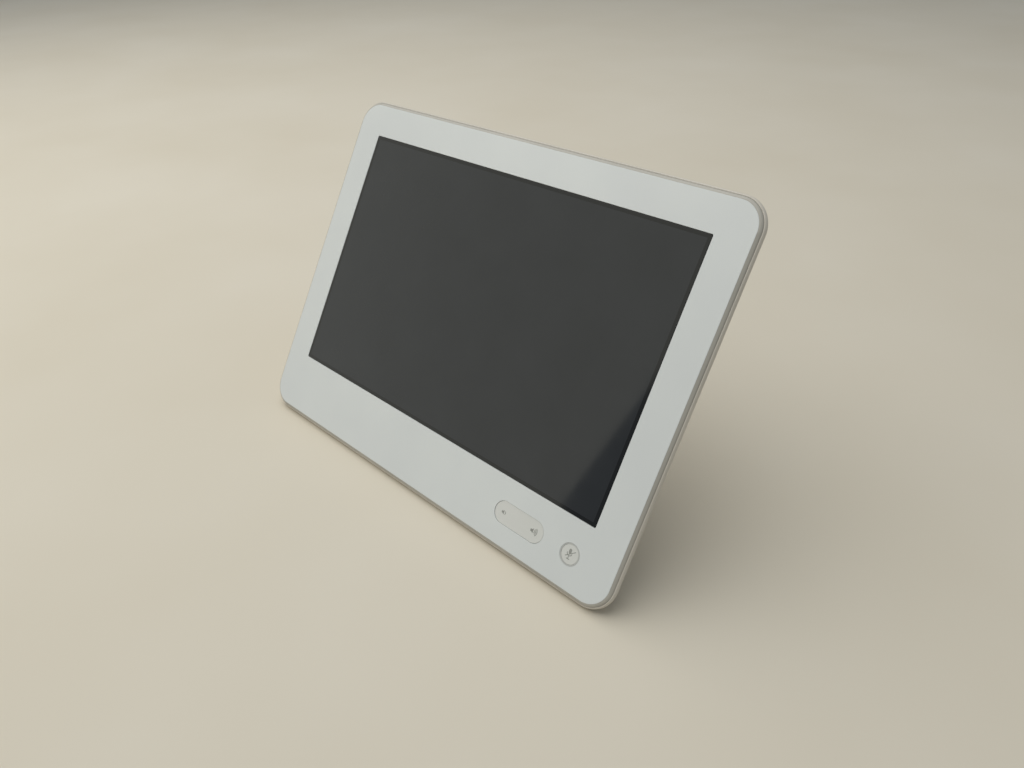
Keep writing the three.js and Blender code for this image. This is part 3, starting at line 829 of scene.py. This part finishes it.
# a block far larger than the leg, whose four long edges then go to their places
def addWedge(name, width):
    piece = addBlock(name, (width, 1000, 1000), (0, 0, 0))
    moveEdge(piece, True, False, fromPanel(stand["bottom"], stand["face"]))
    moveEdge(piece, True, True, fromPanel(stand["top"], stand["face"]))
    moveEdge(piece, False, True, fromFloor(stand["backY"], stand["foot"]))
    moveEdge(piece, False, False, fromFloor(stand["frontY"], stand["foot"]))
    return piece


def onSide(point, half):
    return abs(abs(point.x) - half) < near


def makeStandLeg():
    piece = addWedge("standLeg", stand["width"])
    hollow = addWedge("cutter", stand["width"])
    pickFaces(hollow, lambda middle, normal: True)
    bpy.ops.transform.shrink_fatten(value=-stand["wall"] * mm, use_even_offset=True)
    bpy.ops.object.mode_set(mode="OBJECT")
    half = stand["width"] / 2
    pickEdges(piece, lambda first, second: onSide(first, half) and abs(first.x - second.x) < near)
    bpy.ops.mesh.bevel(offset=stand["round"] * mm, segments=5, affect="EDGES")
    bpy.ops.object.mode_set(mode="OBJECT")
    mouthY = stand["mouthY"] + panelPlace.y / mm
    mouthSize = (stand["mouthWidth"], stand["mouthDepth"], stand["mouthCut"])
    mouth = addBlock("cutter", mouthSize, (0, mouthY, stand["mouthTop"] - stand["mouthCut"] / 2))
    carve(piece, hollow, mouth)
    bosses = []
    for side in (-1, 1):
        x = side * stand["bossX"]
        bossTop = stand["mouthTop"] + stand["bossHeight"]
        boss = addRod("boss", stand["bossWidth"], bossTop, stand["mouthTop"], x, mouthY, 32)
        carve(boss, addRod("cutter", stand["pilot"], 16, 0, x, mouthY, 24))
        bosses.append(boss)
    piece = joinPieces("standLeg", [piece, *bosses])
    return finishPiece(piece, shellPlasticWarmBounce, standsFor=["stand_leg"], leans=False)


base = {
    "width": 72.2, "depth": 26.4, "radius": 2.5, "thickness": 4, "edgeRound": 0.4,
    "screwX": 31, "screwHead": 6.4, "headDepth": 2, "holeTop": 8, "screwSeat": 1.8,
}


def makeStandBase():
    y = stand["mouthY"] + panelPlace.y / mm
    bottom = stand["foot"]
    top = bottom + base["thickness"]
    piece = addSlab("standBase", base["width"], base["depth"], base["radius"], top, bottom, 0, y, 5)
    roundRims(piece, bottom, base["edgeRound"], 2)
    for side in (-1, 1):
        x = side * base["screwX"]
        head = addRod("cutter", base["screwHead"], bottom + base["headDepth"], 0, x, y, 32)
        carve(piece, head, addRod("cutter", stand["pilot"], base["holeTop"], 0, x, y, 24))
    return finishPiece(piece, shellPlasticWarmBounce, standsFor=["stand_base"], leans=False)


# each foot's width, depth, height and place, and what ends in Part is a part of those
feet = {
    "rear": (20, 10, 1.4, 15, 102.5), "front": (34, 6, 0.6, 88, 9.5),
    "cornerPart": 0.3, "cornerMost": 2.4, "edgePart": 0.3,
    "groovePart": 0.7, "grooveWidth": 0.5, "grooveDepth": 0.3, "spacing": 0.22,
}


# a rubber pad with softened lower edges and three grooves across its tread
def makeFoot(kind, width, depth, height, x, y):
    floorY = y + panelPlace.y / mm
    radius = min(depth * feet["cornerPart"], feet["cornerMost"])
    first = addSlab(f"{kind}Foot1", width, depth, radius, height, 0, -x, floorY, 6)
    roundRims(first, 0, height * feet["edgePart"], 3)
    grooveSize = (width * feet["groovePart"], feet["grooveWidth"], feet["grooveDepth"])
    rows = [floorY + row * depth * feet["spacing"] for row in (-1, 0, 1)]
    carve(first, *[addBlock("cutter", grooveSize, (-x, row, 0)) for row in rows])
    second = copyPiece(first, f"{kind}Foot2", (2 * x, 0, 0))
    for number, foot in enumerate((first, second), 1):
        finishPiece(foot, footRubber, standsFor=[f"{kind}_foot_{number}"], leans=False)


makeStandLeg()
makeStandBase()
makeFoot("rear", *feet["rear"])
makeFoot("front", *feet["front"])
print("stand made")


# a metal: its lumps of tone and gloss and its fine grain, in millimetres
def makeMetal(name, darkHex, lightHex, gloss, lump, grain, grainHeight):
    material, tree, shader, place = startMaterial(name, Metallic=1.0)
    tone = addNoise(tree, place, lump, 3)
    tree.links.new(addTint(tree, tone, darkHex, lightHex), shader.inputs["Base Color"])
    uneven = addNoise(tree, place, lump * 0.4, 3)
    tree.links.new(addRange(tree, uneven, *gloss), shader.inputs["Roughness"])
    addBump(tree, shader, addNoise(tree, place, grain, 2), grainHeight)
    return material


# zinc-plated steel, cold headed: cool grey with a dull shine and rubbed high spots
screwSteel = makeMetal("steelZincPlated", "8C8F92", "A2A5A8", (0.28, 0.42), 1.5, 0.2, 0.004)
# tin-plated brass, pressed: brighter and smoother, with faint drawing marks
jackShieldMetal = makeMetal("brassTinPlated", "A8A9AA", "BABBBB", (0.22, 0.36), 4, 0.5, 0.003)
# phosphor bronze with a gold flash
contactGold = makeMetal("bronzeGoldFlash", "C79A4A", "D9AF60", (0.2, 0.3), 1, 0.2, 0.002)
# PBT, glass filled: black with a dull grain
blackPlastic = makeMoulded("pbtGlassFilledBlack", "151515", "1D1D1D", (0.45, 0.6), 0.2, 0.004, 1.55)

# the head's width and height, the shank's width and its length
screwSizes = {
    "case": (5.4, 1.6, 2.9, 5), "small": (4.2, 1.3, 1.9, 4), "board": (4.2, 1.3, 1.9, 2.8),
    "stand": (5.4, 1.6, 2.9, 10), "cover": (5.4, 1.2, 2.9, 10),
}
# the crown and the recess as parts of the head, the thread's pitch in millimetres, and its
# root as a part of the shank's width
screw = {
    "crown": 0.42, "crossLength": 0.52, "crossWidth": 0.13, "crossDepth": 0.6, "crossTaper": 0.55,
    "pitch": 0.8, "root": 0.78, "overlap": 0.05,
}


# a pan-head screw whose head's seat is at the origin and whose shank points along +Z
def makeScrewModel(kind):
    headWidth, headHeight, shankWidth, length = screwSizes[kind]
    head = addRod("head", headWidth, 0, -headHeight, 0, 0, 40)
    roundRims(head, -headHeight, headHeight * screw["crown"], 4)
    crossLength = headWidth * screw["crossLength"]
    crossWidth = headWidth * screw["crossWidth"]
    depth = headHeight * screw["crossDepth"]
    for size in ((crossLength, crossWidth), (crossWidth, crossLength)):
        cross = addBlock("cutter", (*size, depth * 2), (0, 0, -headHeight))
        pickFaces(cross, lambda middle, normal: normal.z > flatness)
        bpy.ops.transform.resize(value=(screw["crossTaper"], screw["crossTaper"], 1))
        bpy.ops.object.mode_set(mode="OBJECT")
        carve(head, cross)
    shank = addRod("shank", shankWidth, length, -screw["overlap"], 0, 0, 20)
    turns = int(length / screw["pitch"])
    pickEdges(shank, lambda first, second: abs(first.z - second.z) > 1)
    bpy.ops.mesh.subdivide(number_cuts=turns * 2)
    bpy.ops.object.mode_set(mode="OBJECT")
    levels = sorted({round(vertex.co.z, 6) for vertex in shank.data.vertices})
    startPicking(shank, "VERT")
    for vertex in shank.data.vertices:
        vertex.select = levels.index(round(vertex.co.z, 6)) % 2 == 1
    bpy.ops.object.mode_set(mode="EDIT")
    bpy.ops.transform.resize(value=(screw["root"], screw["root"], 1))
    bpy.ops.object.mode_set(mode="OBJECT")
    return joinPieces(f"{kind}Screw", [head, shank])


# the piece's name, the node it stands for, its size, its places and its seat's level
screwPlan = [
    ("shellScrewSteel", "shell_screw", "case", screwPlaces, -15),
    ("buttonBoardScrewSteel", "button_board_screw", "small", [(50.2, 16), (86.6, 8.4)], -8.8),
    (
        "chassisScrewSteel", "chassis_screw", "small",
        [(-100, 22.9), (30, 22.9), (-100, 177.6), (100, 177.6)], -10.4,
    ),
    ("boardScrewSteel", "board_screw", "board", [(-76, 66), (64, 66), (-76, 126), (64, 126)], -13.2),
    ("legScrewSteel", "leg_screw", "stand", [(-24, 70), (24, 70), (-24, 98), (24, 98)], -33),
]


def makeScrews():
    models = {kind: makeScrewModel(kind) for kind in screwSizes}
    for name, nodeName, kind, places, seat in screwPlan:
        for number, (x, y) in enumerate(places, 1):
            piece = copyPiece(models[kind], f"{name}{number}", (x, y, seat))
            finishPiece(piece, screwSteel, standsFor=[f"{nodeName}_{number}"])
    makeActive(models["cover"])
    bpy.ops.transform.rotate(value=math.pi, orient_axis="X", center_override=(0, 0, 0))
    bpy.ops.object.transform_apply(location=True, rotation=True, scale=True)
    for number, side in enumerate((-1, 1), 1):
        place = (side * cover["screwX"], cover["middleY"], cover["screwSeat"])
        piece = copyPiece(models["cover"], f"coverScrewSteel{number}", place)
        finishPiece(piece, screwSteel, standsFor=[f"cover_screw_{number}"])
    y = stand["mouthY"] + panelPlace.y / mm
    for number, side in enumerate((-1, 1), 1):
        place = (side * base["screwX"], y, stand["foot"] + base["screwSeat"])
        piece = copyPiece(models["stand"], f"baseScrewSteel{number}", place)
        node = f"base_screw_{number}"
        finishPiece(piece, screwSteel, standsFor=[node], leans=False)
    for model in models.values():
        bpy.data.objects.remove(model)


makeScrews()

# the socket's shell, the three steps of its mouth and what shows inside it: each size, then
# how far above the shell's bottom it lies, and its level
jack = {
    "width": 16, "bottom": 56.1, "length": 21, "front": -13.2, "back": -26.7, "edgeRound": 0.5,
    "mouth": ((12, 26, 8.2), 0, -21.5), "latch": ((6.2, 18, 1.8), 0, -16.6),
    "keyway": ((3.4, 18, 1.2), 0, -15.4),
    "spring": ((0.25, 5, 2.4), 3.4, -21.5), "springX": 5.86, "springBend": 0.7,
    "liner": ((11.8, 0.6, 8.0), 12.6, -21.5), "comb": ((9.6, 4.2, 1.6), 10.4, -24.7),
    "contact": ((0.46, 7.4, 0.3), 8.4, -24.9), "contactRise": 2.2, "contacts": 8, "pitch": 1.02,
}


def addJackBlock(name, kind, x=0):
    size, up, level = jack[kind]
    return addBlock(name, size, (x, jack["bottom"] + up, level))


def makeJack():
    middleY = jack["bottom"] + jack["length"] / 2
    depth = jack["front"] - jack["back"]
    size = (jack["width"], jack["length"], depth)
    piece = addBlock("jackShield", size, (0, middleY, jack["back"] + depth / 2))
    pickEdges(piece, lambda first, second: abs(first.y - second.y) > 1)
    bpy.ops.mesh.bevel(offset=jack["edgeRound"] * mm, segments=3, affect="EDGES")
    bpy.ops.object.mode_set(mode="OBJECT")
    carve(piece, *[addJackBlock("cutter", kind) for kind in ("mouth", "latch", "keyway")])
    springs = []
    for side in (-1, 1):
        spring = addJackBlock("spring", "spring", side * jack["springX"])
        pickFaces(spring, lambda middle, normal: normal.y > flatness)
        bpy.ops.transform.translate(value=(-side * jack["springBend"] * mm, 0, 0))
        bpy.ops.object.mode_set(mode="OBJECT")
        springs.append(spring)
    piece = joinPieces("jackShield", [piece, *springs])
    finishPiece(piece, jackShieldMetal, standsFor=["network_jack"])
    liner = addJackBlock("jackLiner", "liner")
    liner = joinPieces("jackLiner", [liner, addJackBlock("comb", "comb")])
    finishPiece(liner, blackPlastic)
    half = (jack["contacts"] - 1) / 2
    contact = addJackBlock("jackContact1", "contact", -half * jack["pitch"])
    pickFaces(contact, lambda middle, normal: normal.y < -flatness)
    bpy.ops.transform.translate(value=(0, 0, jack["contactRise"] * mm))
    bpy.ops.object.mode_set(mode="OBJECT")
    contacts = [contact]
    for number in range(1, jack["contacts"]):
        shift = (number * jack["pitch"], 0, 0)
        contacts.append(copyPiece(contact, f"jackContact{number + 1}", shift))
    finishPiece(joinPieces("jackContacts", contacts), contactGold)


makeJack()

label = {
    "width": 54, "height": 30, "x": -76, "y": 128, "front": -17.1, "back": -17.3, "radius": 1.5,
    "edgeRound": 0.06,
}
# polyester film, silver grey and blank: a dull satin sheet
labelFilm = makeMoulded("polyesterFilmGrey", "C9CACA", "D2D3D3", (0.32, 0.42), 1.2, 0.001, 1.6)


def makeLabel():
    piece = addSlab(
        "ratingLabel", label["width"], label["height"], label["radius"],
        label["front"], label["back"], label["x"], label["y"], 6,
    )
    roundRims(piece, label["back"], label["edgeRound"], 2)
    return finishPiece(piece, labelFilm, standsFor=["rating_label"])


makeLabel()
print("screws, socket and label made")


def dressNodes(material, *names):
    for name in names:
        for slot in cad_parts[name].material_slots:
            slot.material = material


# galvanised steel, pressed: broad crystals of a few millimetres in differing greys
def makeGalvanised():
    material, tree, shader, place = startMaterial("steelGalvanised", Metallic=1.0)
    inputs = {"Scale": 1 / (6 * mm), "Randomness": 1.0}
    crystals = addNode(tree, "ShaderNodeTexVoronoi", inputs, {"Vector": place})
    colour = addTint(tree, crystals.outputs["Color"], "989C9F", "B4B7B9")
    tree.links.new(colour, shader.inputs["Base Color"])
    tree.links.new(addRange(tree, addNoise(tree, place, 5), 0.3, 0.48), shader.inputs["Roughness"])
    addBump(tree, shader, addNoise(tree, place, 0.6), 0.004)
    return material


# FR4 under green solder mask: copper tracks show through as lighter green lines
def makeBoard():
    material, tree, shader, place = startMaterial("fr4GreenMask", onPanel=True, IOR=1.55)
    shader.inputs["Coat Weight"].default_value = 0.4
    shader.inputs["Coat Roughness"].default_value = 0.2
    inputs = {"Scale": 1 / (9 * mm), "Mortar Size": 0.06, "Mortar Smooth": 0.2, "Bias": 0.0}
    inputs.update({"Color1": (0, 0, 0, 1), "Color2": (0, 0, 0, 1), "Mortar": (1, 1, 1, 1)})
    tracks = addNode(tree, "ShaderNodeTexBrick", inputs, {"Vector": place})
    pattern = tracks.outputs["Color"]
    tree.links.new(addTint(tree, pattern, "17452D", "2B6B45", 0.2, 0.8), shader.inputs["Base Color"])
    tree.links.new(addRange(tree, addNoise(tree, place, 8), 0.35, 0.5), shader.inputs["Roughness"])
    addBump(tree, shader, pattern, 0.02)
    return material


# polyimide film, laminated: amber with conductors of about 0.5 mm, drawn at 1 mm to show
def makeFlexFilm():
    material, tree, shader, place = startMaterial("polyimideAmber", onPanel=True, IOR=1.7)
    lines = addNode(
        tree, "ShaderNodeTexWave", {"Scale": 1 / (6.28 * mm), "Distortion": 0.0}, {"Vector": place},
        wave_type="BANDS", bands_direction="X",
    )
    colour = addTint(tree, lines.outputs["Fac"], "8A5420", "B87A35", 0.4, 0.6)
    tree.links.new(colour, shader.inputs["Base Color"])
    tree.links.new(addRange(tree, addNoise(tree, place, 6), 0.25, 0.4), shader.inputs["Roughness"])
    addBump(tree, shader, lines.outputs["Fac"], 0.02)
    return material


# polyurethane foam, die cut: charcoal with open cells of about 0.4 mm
gasketFoam = makeMoulded("polyurethaneFoamBlack", "1A1A1A", "262626", (0.85, 0.95), 0.4, 0.08, 1.4)
# display glass with its polariser: nearly black and smooth
cellGlass = makeMoulded("displayGlassDark", "0D0F11", "121417", (0.12, 0.2), 2.0, 0.0005, 1.52)
# PET reflector in a pressed frame: bright satin white
reflectorFilm = makeMoulded("petReflectorWhite", "D8DADB", "E2E4E4", (0.35, 0.5), 1.5, 0.002, 1.57)
# epoxy, cast: cloudy yellow over the chip
ledEpoxy = makeMoulded("epoxyCastYellow", "CFC48A", "DDD39C", (0.15, 0.25), 0.5, 0.001, 1.54)

dressNodes(gasketFoam, "display_gasket")
dressNodes(cellGlass, "lcd_panel")
dressNodes(reflectorFilm, "backlight_unit")
dressNodes(makeGalvanised(), "chassis_plate")
dressNodes(jackShieldMetal, "shield_can")
dressNodes(makeBoard(), "main_board", "button_board")
dressNodes(blackPlastic, "volume_down_switch", "volume_up_switch", "mute_switch")
dressNodes(ledEpoxy, "mute_led")
dressNodes(makeFlexFilm(), "display_flex", "touch_flex", "button_flex")
print("inner nodes dressed")
